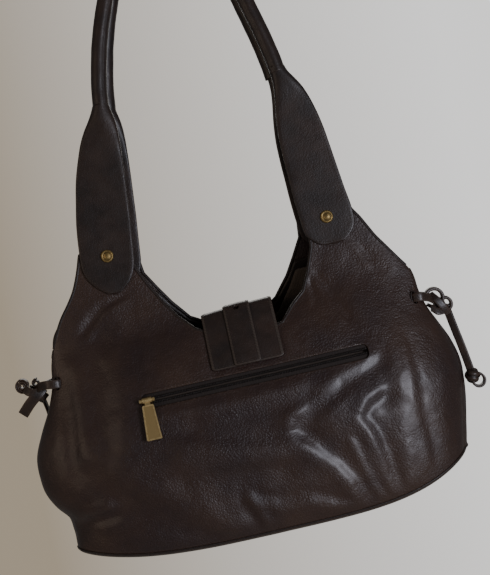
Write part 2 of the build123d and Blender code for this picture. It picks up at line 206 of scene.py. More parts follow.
# Outline of each panel's top, from the left ear over the mouth to the right ear.
NEAR_TOP = (
    (-128, EAR_TOP), (-84, EAR_TOP), (-83, 276), (-72, 252), (-63, 235), (-52, 218), (-38, 203), (-20, 194),
    (0, 190), (22, 188), (41.5, 191.5), (55, 205.5), (67, 215), (75, 231), (83, 252), (85, 270),
    (84, EAR_TOP), (123, EAR_TOP),
)
FAR_TOP = (
    (-126, EAR_TOP), (-80, EAR_TOP), (-77, 265), (-67, 248), (-57, 232), (-43, 214), (-25, 204), (0, 200),
    (25, 204), (42, 214), (57, 232), (67, 248), (77, 265), (80, EAR_TOP), (124, EAR_TOP),
)

# Creases in the hide as lines of (x, z) points. The hide drops away on the right-hand side of
# each line as it runs: how wide the slope is and how high follow.
NEAR_FOLDS = (
    (
        ((77, 14), (72, 38), (62, 56), (45, 74), (29, 95), (33, 104), (60, 118), (80, 130), (112, 141)),
        7.0, 1.5,
    ),
    (((109, 10), (107, 30), (104, 56), (99, 78), (91, 94), (100, 104), (114, 109)), 5.6, 1.3),
    (((97, 14), (90, 32), (84, 52), (80, 74)), 3.4, 0.6),
    (((144, 36), (145, 60), (144, 92), (147, 118), (146, 146)), 4.4, 0.6),
    (((100, 204), (113, 170), (126, 150), (123, 100), (116, 50), (113, 14)), 10.0, 1.0),
    (((-151, 100), (-148, 150), (-146, 192)), 10.0, 0.8),
    (((-118, 228), (-122, 190), (-125, 150), (-128, 118)), 10.0, 0.9),
    (((-164, 185), (-163, 150), (-165, 118)), 7.0, 0.9),
    (((-84, 127), (-20, 124), (46, 128)), 8.0, 1.6),
    (((34, 84), (-10, 92), (-62, 106)), 9.0, 1.3),
    (((-74, 80), (-30, 74), (14, 70)), 9.0, 1.2),
    (((-152, 102), (-130, 75), (-90, 45), (-52, 16)), 11.0, 1.6),
    (((62, 18), (30, 34), (5, 34), (-26, 46)), 5.5, 1.1),
    (((-27, 46), (-19, 26), (-14, 8)), 4.5, 1.3),
    (((98, 182), (88, 205), (80, 226)), 3.2, 0.8),
    (((72, 203), (74, 225)), 2.6, 0.6),
    (((132, 228), (124, 246), (112, 262)), 3.6, 0.6),
    (((-140, 230), (-120, 244), (-96, 250)), 4.0, 0.6),
    (((-96, 246), (-118, 238), (-138, 220)), 3.4, 0.8),
    (((170, 40), (172, 75), (178, 105)), 8.0, 0.7),
    (((-178, 100), (-172, 140), (-168, 180)), 8.0, 0.8),
    (((-188, 48), (-172, 58), (-150, 60)), 5.0, 2.4),
)
FAR_FOLDS = (
    (((120, 20), (128, 60), (118, 110), (126, 160), (104, 215)), 8.0, 3.0),
    (((-80, 214), (-112, 165), (-104, 110), (-118, 60), (-108, 16)), 8.0, 3.2),
    (((60, 24), (44, 58), (-6, 78), (-60, 72)), 8.0, 2.4),
    (((-30, 110), (20, 118), (84, 104)), 9.0, 2.0),
    (((-150, 40), (-142, 90), (-150, 140), (-140, 190)), 7.0, 2.4),
    (((148, 190), (152, 140), (146, 90), (154, 44)), 7.0, 2.2),
    (((10, 60), (-14, 36), (-20, 12)), 6.0, 2.0),
)
ZIP_X, ZIP_Z, ZIP_LONG, ZIP_WINDOW = 6, 149.5, 210, 13
FLAP_X, FLAP_WIDE = 2.7, 67


def creases(x, z, folds):
    """How far the hide stands out of its smooth form along the creases."""
    out = np.zeros(x.shape)
    for line, wide, high in folds:
        nearest = np.full(x.shape, 1e9)
        signed = np.zeros(x.shape)
        for (x0, z0), (x1, z1) in zip(line, line[1:]):
            run_x, run_z = x1 - x0, z1 - z0
            share = np.clip(((x - x0) * run_x + (z - z0) * run_z) / (run_x**2 + run_z**2), 0, 1)
            off_x, off_z = x - x0 - share * run_x, z - z0 - share * run_z
            far = np.hypot(off_x, off_z)
            side = (off_x * run_z - off_z * run_x) / np.hypot(run_x, run_z)
            closer = far < nearest
            nearest = np.where(closer, far, nearest)
            signed = np.where(closer, side, signed)
        fade = np.exp(-((np.sqrt(np.maximum(nearest**2 - signed**2, 0)) / (1.5 * wide)) ** 2))
        out -= high * signed / wide * np.exp(0.5 - signed**2 / (2 * wide**2)) * fade
    return out


def grain_waves(x, y, z, seed):
    """Small random undulation of soft hide: long shallow waves and finer drawn lines."""
    out = np.empty(x.shape)
    for k in np.ndindex(x.shape):
        p = Vector((x[k], y[k], z[k]))
        warp = noise.noise(p / 45 + Vector((seed, 0, 0)))
        broad = noise.noise(Vector((x[k] / 34 + warp, y[k] / 34, z[k] / 46 + seed)))
        drawn = 0.5 - abs(noise.noise(Vector((x[k] / 17 + 2 * warp, y[k] / 17, z[k] / 23 - seed))))
        fine = noise.noise(p / 7 + Vector((0, seed, 0)))
        out[k] = 1.1 * broad + 0.6 * drawn**2 + 0.16 * fine
    return out


class Panel:
    """One large panel: way is -1 for the near one and 1 for the far one."""

    def __init__(self, way, left, right, top, folds, seed):
        self.way, self.left, self.right, self.folds, self.seed = way, left, right, folds, seed
        self.top = np.array(top, float)
        steps = np.hypot(*np.diff(self.top, axis=0).T)
        self.along = np.concatenate([[0], np.cumsum(steps)]) / steps.sum() * 2 - 1

    def half_wide(self, side, z):
        return np.where(side < 0, self.left(z), self.right(z))

    def base_lift(self, x):
        """The base seam rises towards both ends, where nothing holds it down."""
        return 9.5 + np.where(x < 0, 15 * (np.abs(x) / 172) ** 3.2, 21 * (np.abs(x) / 165) ** 4)

    def smooth_form(self, u, v, drop=0):
        """Points of the sagging form: u runs along the bag and v from the base to the top edge."""
        z_low = np.full(u.shape, 9.5)
        for _ in range(6):
            z_low = self.base_lift(self.half_wide(u, z_low) * np.sin(np.pi / 2 * u))
        x_top = np.interp(u, self.along, self.top[:, 0])
        z_top = np.interp(u, self.along, self.top[:, 1]) - drop
        turn_top = np.arcsin(np.clip(x_top / self.half_wide(u, z_top), -1, 1)) * 2 / np.pi
        z = z_low + (z_top - z_low) * v
        turn = u + (turn_top - u) * v
        share = np.sin(np.pi / 2 * turn)
        deep, seam = DEPTH(z), SEAM_DEPTH(z)
        y = seam + (deep - seam) * np.sqrt(np.maximum(1 - np.abs(share) ** 3.2, 0))
        return np.stack([self.half_wide(turn, z) * share, self.way * y, z], -1)

    def skin(self, u, v, inset=0.0, drop=0, crease=1.0):
        """Points and outward normals of the hide at a depth below its grain side."""
        step = 2e-3
        u, v = np.asarray(u, float), np.asarray(v, float)
        point = self.smooth_form(u, v, drop)
        east, west = np.minimum(u + step, 1), np.maximum(u - step, -1)
        high, low = np.minimum(v + step, 1), np.maximum(v - step, 0)
        along = self.smooth_form(east, v, drop) - self.smooth_form(west, v, drop)
        upward = self.smooth_form(u, high, drop) - self.smooth_form(u, low, drop)
        normal = np.cross(along, upward) * -self.way
        normal /= np.linalg.norm(normal, axis=-1, keepdims=True)
        x, y, z = np.moveaxis(point, -1, 0)
        side = np.abs(x) / self.half_wide(x, z)
        stand = creases(x, z, self.folds) + grain_waves(x, y, z, self.seed)
        stand = np.where(stand > 0, 4.5 * np.tanh(stand / 4.5), 6 * np.tanh(stand / 6))
        stand *= (1 - side**14) * (1 - 0.85 * ease(240, 262, z)) * ease(-0.01, 0.07, v)
        if self.way < 0:
            in_zip = 1 - ease(0.42 * ZIP_LONG, 0.56 * ZIP_LONG, np.abs(x - ZIP_X))
            stand *= 1 - 0.9 * in_zip * np.exp(-(((z - ZIP_Z) / 11) ** 2))
        under_flap = (1 - ease(0.46 * FLAP_WIDE, 0.62 * FLAP_WIDE, np.abs(x - FLAP_X))) * ease(148, 164, z)
        stand = stand * (1 - under_flap) - 0.8 * under_flap
        return point - normal * inset + normal * (crease * stand)[..., None], normal


near_side = Panel(-1, NEAR_LEFT, NEAR_RIGHT, NEAR_TOP, NEAR_FOLDS, 3.7)
far_side = Panel(1, FAR_LEFT, FAR_RIGHT, FAR_TOP, FAR_FOLDS, 11.2)


def sheet_of(columns, rows, surface, flip=False):
    """A grid of faces laid on a surface, which is a function of two arrays from 0 to 1."""
    bm = bmesh.new()
    bmesh.ops.create_grid(bm, x_segments=columns, y_segments=rows, size=1)
    flat = np.array([v.co[:2] for v in bm.verts])
    low, high = flat.min(0), flat.max(0)
    share = (flat - low) / (high - low)
    for vert, point in zip(bm.verts, surface(share[:, 0], share[:, 1])):
        vert.co = Vector(point) * MM
    if flip:
        bmesh.ops.reverse_faces(bm, faces=bm.faces)
    for face in bm.faces:
        face.smooth = True
    bm.normal_update()
    return bm


def as_object(name, bm, *materials):
    """Ends a mesh: the object stands at the origin with its place in the mesh."""
    mesh = bpy.data.meshes.new(name)
    bm.to_mesh(mesh)
    bm.free()
    for material in materials:
        mesh.materials.append(material)
    made = bpy.data.objects.new(name, mesh)
    bpy.context.collection.objects.link(made)
    return made


def join_in(bm, other, material_index=None):
    """Adds another mesh to bm and frees it."""
    mesh = bpy.data.meshes.new("part")
    other.to_mesh(mesh)
    other.free()
    first = len(bm.faces)
    bm.from_mesh(mesh)
    bpy.data.meshes.remove(mesh)
    bm.faces.ensure_lookup_table()
    if material_index is not None:
        for face in bm.faces[first:]:
            face.material_index = material_index


def thicken(bm, millimetres):
    """Gives a sheet its thickness on the side away from its normals."""
    outer = list(bm.faces)
    bmesh.ops.solidify(bm, geom=outer, thickness=millimetres * MM)
    for face in bm.faces:
        face.smooth = True


def leather(name, deep, warm, worn, grain_mm, roughness, coat, relief_mm, patch_mm=60):
    """Drum-dyed cowhide with an aniline finish: the dye lies unevenly, so it shifts between two
    browns in patches, pales a little on its ridges, and shines softly over a pebbled grain."""
    made = bpy.data.materials.new(name)
    made.use_nodes = True
    tree = made.node_tree
    tree.nodes.clear()
    place = add(tree, "TexCoord").outputs["Object"]
    patches = add(
        tree, "TexNoise", {"Scale": 1000 / patch_mm, "Detail": 4, "Roughness": 0.6}, {"Vector": place}
    )
    tone = add(tree, "MapRange", {1: 0.38, 2: 0.66}, {0: patches.outputs["Fac"]})
    dyed = add(
        tree, "Mix", {6: hex_colour(deep), 7: hex_colour(warm)}, {0: tone.outputs[0]}, data_type="RGBA"
    )
    rubbed_noise = add(tree, "TexNoise", {"Scale": 1000 / 9, "Detail": 3}, {"Vector": place})
    sharpness = add(tree, "NewGeometry").outputs["Pointiness"]
    ridge = add(tree, "MapRange", {1: 0.5, 2: 0.56}, {0: sharpness})
    rub = add(
        tree, "Math", None, {0: ridge.outputs[0], 1: rubbed_noise.outputs["Fac"]}, operation="MULTIPLY"
    )
    rubbed = add(
        tree, "Mix", {7: hex_colour(worn)}, {0: rub.outputs[0], 6: dyed.outputs[2]}, data_type="RGBA"
    )
    pebbles = add(
        tree, "TexVoronoi", {"Scale": 1000 / grain_mm, "Smoothness": 0.35}, {"Vector": place},
        feature="SMOOTH_F1",
    )
    domes = add(tree, "Math", {0: 1.0}, {1: pebbles.outputs["Distance"]}, operation="SUBTRACT")
    pores = add(tree, "TexNoise", {"Scale": 1000 / (0.5 * grain_mm), "Detail": 2}, {"Vector": place})
    wrinkles = add(tree, "TexNoise", {"Scale": 1000 / (5 * grain_mm), "Detail": 3}, {"Vector": place})
    grain = add(
        tree, "Math", {1: 1.4}, {0: wrinkles.outputs["Fac"], 2: domes.outputs[0]}, operation="MULTIPLY_ADD"
    )
    relief = add(
        tree, "Math", {1: 0.5}, {0: pores.outputs["Fac"], 2: grain.outputs[0]}, operation="MULTIPLY_ADD"
    )
    bump = add(
        tree, "Bump", {"Strength": 1.0, "Distance": relief_mm * MM}, {"Height": relief.outputs[0]}
    )
    polish = add(
        tree, "MapRange", {1: 0.3, 2: 0.7, 3: roughness + 0.08, 4: roughness - 0.08},
        {0: rubbed_noise.outputs["Fac"]},
    )
    hide = add(
        tree, "BsdfPrincipled",
        {"IOR": 1.5, "Coat Weight": coat, "Coat Roughness": 0.26, "Coat IOR": 1.5},
        {"Base Color": rubbed.outputs[2], "Roughness": polish.outputs[0], "Normal": bump.outputs[0]},
    )
    add(tree, "OutputMaterial", links={"Surface": hide.outputs[0]})
    return made


body_leather = leather(
    "drum_dyed_cowhide", "2C1B1A", "412D23", "4A382C", grain_mm=1.7, roughness=0.46, coat=0.4, relief_mm=0.36,
    patch_mm=85
)
edge_leather = leather(
    "turned_cowhide_edge", "1D1513", "281C17", "2E211B", grain_mm=1.4, roughness=0.5, coat=0.1, relief_mm=0.15
)


def thread_of(name, colour):
    """Waxed polyester thread: two plies twisted at about 1 mm, drawn into short bright stitches."""
    made = bpy.data.materials.new(name)
    made.use_nodes = True
    tree = made.node_tree
    place = add(tree, "TexCoord").outputs["Object"]
    twist = add(
        tree, "TexWave", {"Scale": 1000 / 6.3, "Distortion": 1.0}, {"Vector": place},
        bands_direction="DIAGONAL",
    )
    fibre = add(tree, "MapRange", {3: 0.0, 4: 0.45}, {0: twist.outputs["Fac"]})
    shade = add(
        tree, "Mix", {6: hex_colour(colour), 7: hex_colour("241D19")}, {0: fibre.outputs[0]},
        data_type="RGBA",
    )
    bump = add(tree, "Bump", {"Strength": 0.5, "Distance": 0.1 * MM}, {"Height": twist.outputs["Fac"]})
    skin = tree.nodes["Principled BSDF"]
    skin.inputs["Roughness"].default_value = 0.55
    tree.links.new(shade.outputs[2], skin.inputs["Base Color"])
    tree.links.new(bump.outputs[0], skin.inputs["Normal"])
    return made


brown_thread = thread_of("waxed_polyester_thread", "4C4037")


def stitches(points, normals, pitch=3.4, long=2.3, wide=0.55, lift=0.1):
    """A row of stitches along a line on the leather, each a small rounded bar."""
    bm = bmesh.new()
    points, normals = np.asarray(points, float), np.asarray(normals, float)
    run = np.concatenate([[0], np.cumsum(np.linalg.norm(np.diff(points, axis=0), axis=1))])
    for at in np.arange(pitch / 2, run[-1], pitch):
        here, out, ahead = (
            np.array([np.interp(at + shift, run, column) for column in source.T])
            for source, shift in ((points, 0), (normals, 0), (points, 0.6))
        )
        back = np.array([np.interp(at - 0.6, run, column) for column in points.T])
        along = Vector(ahead - back).normalized()
        out = Vector(out).normalized()
        side = out.cross(along).normalized()
        turn = Matrix((along, side, along.cross(side))).transposed().to_4x4()
        grow = Matrix.Diagonal((long / 2, wide / 2, wide / 2, 1))
        place = Matrix.Translation((Vector(here) + out * lift) * MM) @ turn @ Matrix.Scale(MM, 4) @ grow
        bmesh.ops.create_uvsphere(bm, u_segments=6, v_segments=4, radius=1, matrix=place)
    for face in bm.faces:
        face.smooth = True
    return bm


def roll_edge(points, radius, cyclic=False):
    """A bead of turned leather along a line, as a mesh."""
    line = bpy.data.curves.new("edge", "CURVE")
    line.dimensions = "3D"
    run = line.splines.new("POLY")
    run.points.add(len(points) - 1)
    for spot, point in zip(run.points, points):
        spot.co = (*[c * MM for c in point], 1)
    run.use_cyclic_u = cyclic
    line.bevel_depth = radius * MM
    line.bevel_resolution = 2
    line.use_fill_caps = not cyclic
    holder = bpy.data.objects.new("edge", line)
    mesh = bpy.data.meshes.new_from_object(holder)
    bpy.data.objects.remove(holder)
    bpy.data.curves.remove(line)
    bm = bmesh.new()
    bm.from_mesh(mesh)
    bpy.data.meshes.remove(mesh)
    bmesh.ops.remove_doubles(bm, verts=bm.verts, dist=1e-6)
    for face in bm.faces:
        face.smooth = True
    return bm


def cut_hole(bm, centre, along, up, half_long, half_high, rounding, reach):
    """Cuts a rounded slot through the leather near its centre."""
    centre, along, up = Vector(centre) * MM, Vector(along), Vector(up)
    planes = []
    for k in range(16):
        angle = 2 * math.pi * k / 16
        a, b = math.cos(angle), math.sin(angle)
        corner = [
            0 if abs(w) < 1e-6 else math.copysign(half - rounding, w)
            for w, half in ((a, half_long), (b, half_high))
        ]
        way = along * a + up * b
        planes.append((centre + (along * corner[0] + up * corner[1] + way * rounding) * MM, way))
    facing = along.cross(up)

    def close(face, by):
        off = face.calc_center_median() - centre
        return (
            abs(off.dot(along)) < (half_long + by) * MM
            and abs(off.dot(up)) < (half_high + by) * MM
            and abs(off.dot(facing)) < reach * MM
        )

    for spot, way in planes:
        faces = [f for f in bm.faces if close(f, 4)]
        around = faces + list({e for f in faces for e in f.edges}) + list({v for f in faces for v in f.verts})
        bmesh.ops.bisect_plane(bm, geom=around, dist=1e-6, plane_co=spot, plane_no=way)
    gone = [
        f for f in bm.faces
        if close(f, 4) and all((f.calc_center_median() - spot).dot(way) < 0 for spot, way in planes)
    ]
    bmesh.ops.delete(bm, geom=gone, context="FACES")


COLUMNS, ROWS = 210, 124
SLOT_Z, SLOT_Y = 186, 28
SLOTS = {-1: (173.4, 182), 1: (164.3, 185.5)}  # how far out and how high, by side


def panel_mesh(side):
    """The outer hide of one panel with its thickness and its turned edge."""
    bm = sheet_of(
        COLUMNS, ROWS, lambda a, b: side.skin(2 * a - 1, b)[0], flip=side.way > 0
    )
    if side.way < 0:
        cut_hole(bm, (ZIP_X, -57, ZIP_Z), (1, 0, 0), (0, 0, 1), ZIP_LONG / 2, ZIP_WINDOW / 2, 4.5, 20)
    for end, (out, high) in SLOTS.items():
        across = Vector((end * 0.75, -side.way * 0.66, 0)).normalized()
        cut_hole(bm, (end * out, side.way * SLOT_Y, high), across, (0, 0, 1), 2.8, 5.8, 2.6, 9)
    bm.normal_update()
    thicken(bm, THICK)
    fine = np.linspace(-1, 1, 420)
    left_free = np.linspace(0.70, 1, 60)
    edge = side.skin(fine, np.ones_like(fine), inset=THICK / 2)[0]
    shoulders = [side.skin(np.full(60, end), left_free, inset=THICK / 2)[0] for end in (-1.0, 1.0)]
    rim = np.concatenate([shoulders[0], edge, shoulders[1][::-1]])
    join_in(bm, roll_edge(rim, 1.75), 1)
    for end, (out, high) in SLOTS.items():
        across = np.array((end * 0.75, -side.way * 0.66, 0))
        turn = np.linspace(0, 2 * np.pi, 25)[:-1, None]
        bound = 3.3 * across * np.cos(turn) + (0, 0, 6.2) * np.sin(turn)
        bound += (end * out, side.way * SLOT_Y, high)
        join_in(bm, roll_edge(bound, 0.8, cyclic=True), 1)
    row = np.linspace(-0.76, 0.76, 300)
    points, normals = side.skin(row, np.full(300, 1 - 4.6 / 190))
    join_in(bm, stitches(points, normals, pitch=3.0, long=2.0, wide=0.45), 2)
    return bm


near_panel = as_object("near_leather", panel_mesh(near_side), body_leather, edge_leather, brown_thread)
far_panel = as_object("far_leather", panel_mesh(far_side), body_leather, edge_leather, brown_thread)
for made, way in ((near_panel, "near"), (far_panel, "far")):
    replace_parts(made, f"{way}_panel", f"{way}_left_ear", f"{way}_right_ear")
    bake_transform(made)


# --- side strips and base -------------------------------------------------------------------
# A strip of the same hide joins the panels down each side, drawn in where the ties gather it,
# and a stiffer base is sewn in all round with a narrow piped seam.
SIDE_TOP, SIDE_DIP = 212, 9


def side_strip(end, inset=0.0, drop=0.0):
    """The surface of one side strip as a function for sheet_of."""

    def surface(a, b):
        w = 2 * a - 1
        corner = np.array([float(end)])
        low = [side.smooth_form(corner, np.zeros(1))[0, 2] for side in (near_side, far_side)]
        z_low = low[0] + (low[1] - low[0]) * a
        z = z_low + (SIDE_TOP - drop - SIDE_DIP * (1 - w**2) - z_low) * b
        near_x, far_x = near_side.half_wide(end, z), far_side.half_wide(end, z)
        gather = 1.2 * np.exp(-(((z - SLOT_Z) / 26) ** 2)) * np.cos(w * 9)
        stand = SIDE_BULGE(z) + gather + 0.5 * grain_waves(w * 20, z, z * 0, 5.5)
        x = near_x + (far_x - near_x) * a + stand * (1 - w**2) - inset
        y = w * (SEAM_DEPTH(z) - inset)
        return np.stack([end * x, y, z], -1)

    return surface


def base_form(lift=0.0, shrink=1.0):
    """The surface of the base as a function for sheet_of."""

    def surface(a, b):
        u, w = (2 * a - 1) * shrink, (2 * b - 1) * shrink
        level = np.zeros_like(u)
        near, far = near_side.smooth_form(u, level), far_side.smooth_form(u, level)
        point = near + (far - near) * ((w + 1) / 2)[:, None]
        point[:, 0] += np.sign(u) * SIDE_BULGE(point[:, 2]) * (1 - w**2) * np.abs(u) ** 10
        sag = 4.3 * np.sqrt(1 - np.abs(w) ** 6) * np.sqrt(1 - np.abs(u) ** 12)
        waves = grain_waves(point[:, 0], point[:, 1], level, 8.1)
        sag += 2.4 * (1 - w**2) * (1 - u**2) + 0.4 * waves * (1 - w**2)
        point[:, 2] += lift - sag
        return point

    return surface


for end, name in ((-1, "left"), (1, "right")):
    bm = sheet_of(26, 90, side_strip(end), flip=end < 0)
    thicken(bm, THICK)
    w = np.linspace(0, 1, 30)
    rim = side_strip(end, inset=THICK / 2)(w, np.ones_like(w))
    join_in(bm, roll_edge(rim, 1.7), 1)
    strip = as_object(f"{name}_side_leather", bm, body_leather, edge_leather)
    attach(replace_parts(strip, f"{name}_gusset"), "bag")

bm = sheet_of(150, 44, base_form(), flip=True)
thicken(bm, THICK)
run = np.linspace(0, 1, 160)
turn = np.linspace(0, 1, 16)[1:-1]
low = [
    base_form()(run, np.zeros_like(run)), side_strip(1)(turn, np.zeros_like(turn)),
    base_form()(run[::-1], np.ones_like(run)), side_strip(-1)(turn[::-1], np.zeros_like(turn)),
]
join_in(bm, roll_edge(np.concatenate(low), 1.0, cyclic=True), 1)
base = as_object("base_leather", bm, body_leather, edge_leather)
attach(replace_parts(base, "base_panel"), "bag")


# --- lining, mouth facings, pouch and board ---------------------------------------------------
# Brown cotton twill lines the bag and makes the pouch behind the zip. A facing of the hide
# stiffens the mouth inside, and a grey fibre board lies between the base and the lining.
def twill(name, colour, shade, pitch_mm):
    """Cotton twill: yarns over and under at a slant. The real pitch is 0.6 mm; it is drawn wider
    so that it shows."""
    made = bpy.data.materials.new(name)
    made.use_nodes = True
    tree = made.node_tree
    place = add(tree, "TexCoord").outputs["Object"]
    warp = add(
        tree, "TexWave", {"Scale": 1000 / (6.283 * pitch_mm) * 2, "Distortion": 0.4, "Detail": 1},
        {"Vector": place}, bands_direction="X",
    )
    weft = add(
        tree, "TexWave", {"Scale": 1000 / (6.283 * pitch_mm) * 2, "Distortion": 0.4, "Detail": 1},
        {"Vector": place}, bands_direction="Z",
    )
    cross = add(
        tree, "Math", None, {0: warp.outputs["Fac"], 1: weft.outputs["Fac"]}, operation="MULTIPLY"
    )
    wear = add(tree, "TexNoise", {"Scale": 1000 / 40, "Detail": 3}, {"Vector": place})
    mixed = add(
        tree, "Math", {1: 0.5}, {0: cross.outputs[0], 2: wear.outputs["Fac"]}, operation="MULTIPLY_ADD"
    )
    tint = add(
        tree, "Mix", {6: hex_colour(shade), 7: hex_colour(colour)}, {0: mixed.outputs[0]}, data_type="RGBA"
    )
    bump = add(tree, "Bump", {"Strength": 0.6, "Distance": 0.25 * MM}, {"Height": cross.outputs[0]})
    cloth = tree.nodes["Principled BSDF"]
    cloth.inputs["Roughness"].default_value = 0.85
    cloth.inputs["Sheen Weight"].default_value = 0.15
    tree.links.new(tint.outputs[2], cloth.inputs["Base Color"])
    tree.links.new(bump.outputs[0], cloth.inputs["Normal"])
    return made


cotton = twill("cotton_twill", "6E6259", "4B423B", 1.6)
INNER_NEAR = ((-152, 246), (-69.5, 246), *NEAR_TOP[4:14], (81, 246), (146, 246))
INNER_FAR = ((-152, 246), (-66, 246), *FAR_TOP[4:11], (66, 246), (146, 246))
near_inside = Panel(-1, NEAR_LEFT, NEAR_RIGHT, INNER_NEAR, NEAR_FOLDS, 3.7)
far_inside = Panel(1, FAR_LEFT, FAR_RIGHT, INNER_FAR, FAR_FOLDS, 11.2)

for side, name in ((near_inside, "near"), (far_inside, "far")):
    bm = sheet_of(
        150, 14, lambda a, b, side=side: side.skin((2 * a - 1) * 0.97, 0.84 + 0.155 * b, inset=2.5)[0],
        flip=side.way > 0,
    )
    thicken(bm, 2.0)
    facing = as_object(f"{name}_facing", bm, edge_leather)
    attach(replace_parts(facing, f"{name}_mouth_facing"), "bag")

CLOTH_IN = 8.2
bm = bmesh.new()
for side in (near_inside, far_inside):
    join_in(bm, sheet_of(
        120, 70, lambda a, b, side=side: side.skin(2 * a - 1, b, inset=CLOTH_IN, drop=9, crease=0.6)[0],
        flip=side.way > 0,
    ))
for end in (-1, 1):
    join_in(bm, sheet_of(12, 60, side_strip(end, inset=CLOTH_IN, drop=9), flip=end < 0))
join_in(bm, sheet_of(90, 26, base_form(lift=CLOTH_IN + 1, shrink=0.975), flip=True))
thicken(bm, 0.8)
lining = as_object("lining_cloth", bm, cotton)
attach(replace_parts(lining, "lining"), "bag")

bm = sheet_of(
    80, 40, lambda a, b: near_side.skin(-0.42 + 0.87 * a, 0.3 + 0.55 * b, inset=6.2)[0]
)
thicken(bm, 0.6)
pouch = as_object("zip_pouch", bm, cotton)
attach(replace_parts(pouch, "pocket_pouch"), "bag")

fibre = twill("grey_fibre_board", "5C5854", "4A4643", 2.2)
bm = sheet_of(60, 20, base_form(lift=5.4, shrink=0.95), flip=True)
thicken(bm, 2.0)
board = as_object("fibre_board", bm, fibre)
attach(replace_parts(board, "base_board"), "bag")


# --- zip pocket -------------------------------------------------------------------------------
# A nylon coil zip on woven tape, sewn behind a long rounded window in the near panel with one
# row of thread round it. Its slider and puller are antiqued brass castings.
def near_face(x, z, out=0.0):
    """Points on the near panel's smooth form, or out from it."""
    share = np.abs(x) / near_side.half_wide(x, z)
    deep, seam = DEPTH(z), SEAM_DEPTH(z)
    y = seam + (deep - seam) * np.sqrt(1 - share**3.2)
    return np.stack([x, -(y + out), z], -1)


def nylon(name, colour, shine):
    """Dyed nylon: even colour, a soft sheen and a faint ribbing across the zip."""
    made = bpy.data.materials.new(name)
    made.use_nodes = True
    tree = made.node_tree
    place = add(tree, "TexCoord").outputs["Object"]
    rib = add(tree, "TexWave", {"Scale": 1000 / 8, "Distortion": 0.3}, {"Vector": place}, bands_direction="X")
    fleck = add(tree, "TexNoise", {"Scale": 1000 / 3, "Detail": 2}, {"Vector": place})
    tint = add(
        tree, "Mix", {6: hex_colour(colour), 7: hex_colour("2A2421")}, {0: fleck.outputs["Fac"]},
        data_type="RGBA",
    )
    bump = add(tree, "Bump", {"Strength": 0.5, "Distance": 0.2 * MM}, {"Height": rib.outputs["Fac"]})
    skin = tree.nodes["Principled BSDF"]
    skin.inputs["Roughness"].default_value = shine
    tree.links.new(tint.outputs[2], skin.inputs["Base Color"])
    tree.links.new(bump.outputs[0], skin.inputs["Normal"])
    return made


tape_nylon = nylon("woven_nylon_tape", "352B27", 0.8)
coil_nylon = nylon("nylon_coil", "241E1B", 0.38)
zip_from, zip_to = ZIP_X - ZIP_LONG / 2, ZIP_X + ZIP_LONG / 2
for name, way in (("upper", 1), ("lower", -1)):
    bm = sheet_of(
        140, 6,
        lambda a, b: near_face(zip_from - 8 + (ZIP_LONG + 16) * a, ZIP_Z + way * (0.8 + 15 * b), -2.5),
        flip=way < 0,
    )
    thicken(bm, 0.8)
    tape = as_object(f"tape_{name}", bm, tape_nylon)
    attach(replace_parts(tape, f"zip_tape_{name}"), "bag")
    bm = bmesh.new()
    for x in np.arange(zip_from + 2, zip_to - 1, 1.5):
        spot = near_face(np.array([x]), np.array([ZIP_Z + way * 1.9]), -1.3)[0]
        grow = Matrix.Diagonal((0.62, 1.0, 1.35, 1))
        bmesh.ops.create_uvsphere(
            bm, u_segments=6, v_segments=4, radius=1,
            matrix=Matrix.Translation(Vector(spot) * MM) @ Matrix.Scale(MM, 4) @ grow,
        )
    for face in bm.faces:
        face.smooth = True
    coil = as_object(f"coil_{name}", bm, coil_nylon)
    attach(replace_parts(coil, f"zip_coil_{name}"), "bag")


def antique_brass(name, bright, dark, roughness):
    """Cast brass, chemically darkened and then rubbed back: dark in the hollows and bright on
    the rims."""
    made = bpy.data.materials.new(name)
    made.use_nodes = True
    tree = made.node_tree
    place = add(tree, "TexCoord").outputs["Object"]
    blotch = add(tree, "TexNoise", {"Scale": 1000 / 2.6, "Detail": 4, "Roughness": 0.65}, {"Vector": place})
    pitted = add(tree, "TexVoronoi", {"Scale": 1000 / 1.1}, {"Vector": place})
    rim = add(
        tree, "MapRange", {1: 0.49, 2: 0.54}, {0: add(tree, "NewGeometry").outputs["Pointiness"]}
    )
    spread = add(tree, "MapRange", {1: 0.35, 2: 0.65}, {0: blotch.outputs["Fac"]})
    rubbed = add(tree, "Math", {2: 0.35}, {0: rim.outputs[0], 1: spread.outputs[0]}, operation="MULTIPLY_ADD")
    tint = add(
        tree, "Mix", {6: hex_colour(dark), 7: hex_colour(bright)}, {0: rubbed.outputs[0]}, data_type="RGBA"
    )
    bump = add(tree, "Bump", {"Strength": 0.35, "Distance": 0.2 * MM}, {"Height": pitted.outputs["Distance"]})
    skin = tree.nodes["Principled BSDF"]
    skin.inputs["Metallic"].default_value = 0.8
    skin.inputs["Roughness"].default_value = roughness
    tree.links.new(tint.outputs[2], skin.inputs["Base Color"])
    tree.links.new(bump.outputs[0], skin.inputs["Normal"])
    return made


def finish_node(node, *materials, split=0.0):
    """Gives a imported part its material, and a second one to the faces in front of y = split."""
    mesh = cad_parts[node].data
    mesh.materials.clear()
    for material in materials:
        mesh.materials.append(material)
    for face in mesh.polygons:
        face.material_index = int(len(materials) > 1 and face.center.y < split)


